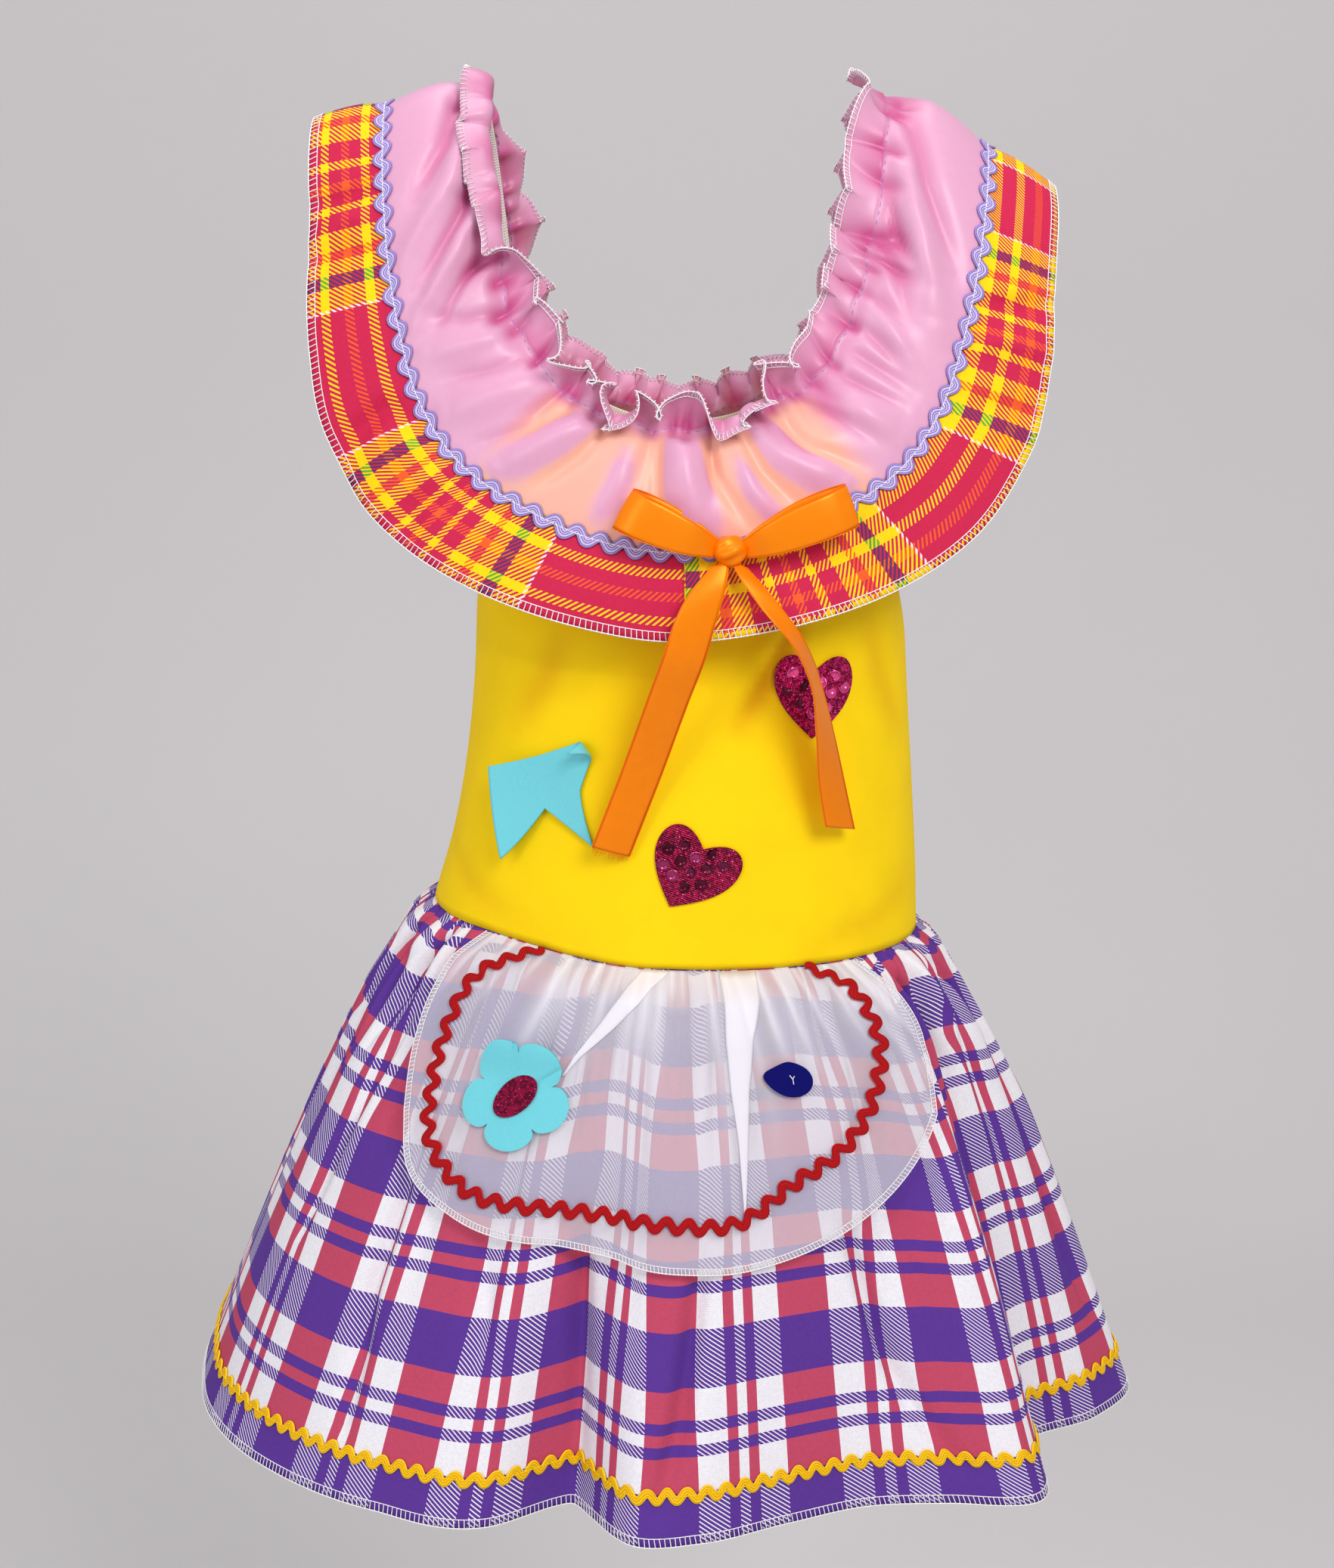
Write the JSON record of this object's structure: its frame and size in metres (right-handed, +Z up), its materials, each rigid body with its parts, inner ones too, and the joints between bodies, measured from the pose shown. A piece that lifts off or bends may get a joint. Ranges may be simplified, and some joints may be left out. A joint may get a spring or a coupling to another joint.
{
  "type": "festa junina dress",
  "caption": "Hollow sleeveless festa junina dress with a yellow bodice, a wide gathered pink collar, a ribbon bow, a full plaid skirt and a sheer apron, filled out as worn.",
  "frame": {"origin": "middle of the shoulder line, half way between the tops of the two collar straps, where the wearer's shoulders hold the dress", "axes": "+Z up the dress from hem to shoulders; front faces -Y; +X towards the viewer's right when the front is seen"},
  "size_m": [0.5631, 0.3962, 0.7731],
  "materials": {
    "yellow_knit": "smooth cotton knit",
    "pink_satin": "thin glossy satin",
    "collar_check": "woven check with yellow, orange and purple stripes",
    "plaid_cotton": "woven plaid, purple and rose on white",
    "white_organza": "sheer crisp organza",
    "white_elastic": "ribbed elastic tape",
    "lilac_braid": "braided ric-rac",
    "yellow_braid": "braided ric-rac",
    "red_braid": "braided ric-rac",
    "orange_ribbon": "satin ribbon with picot edges",
    "magenta_sequin": "sequin cloth",
    "aqua_felt": "foam felt",
    "navy_felt": "felt"
  },
  "bodies": {
    "root": {"bodice_front": "yellow_knit", "bodice_back": "yellow_knit", "neck_elastic_front": "white_elastic", "neck_elastic_back": "white_elastic", "collar_satin_front": "pink_satin", "collar_satin_back": "pink_satin", "collar_band_front": "collar_check", "collar_band_back": "collar_check", "ricrac_collar_front": "lilac_braid", "ricrac_collar_back": "lilac_braid", "skirt_front": "plaid_cotton", "skirt_back": "plaid_cotton", "ricrac_hem_front": "yellow_braid", "ricrac_hem_back": "yellow_braid", "apron": "white_organza", "ricrac_apron": "red_braid", "bow_knot": "orange_ribbon", "bow_loop_left": "orange_ribbon", "bow_loop_right": "orange_ribbon", "ribbon_tail_left": "orange_ribbon", "ribbon_tail_right": "orange_ribbon", "pennant": "aqua_felt", "heart_upper": "magenta_sequin", "heart_lower": "magenta_sequin", "flower": "aqua_felt", "flower_centre": "magenta_sequin", "button": "navy_felt"}
  },
  "joints": []
}
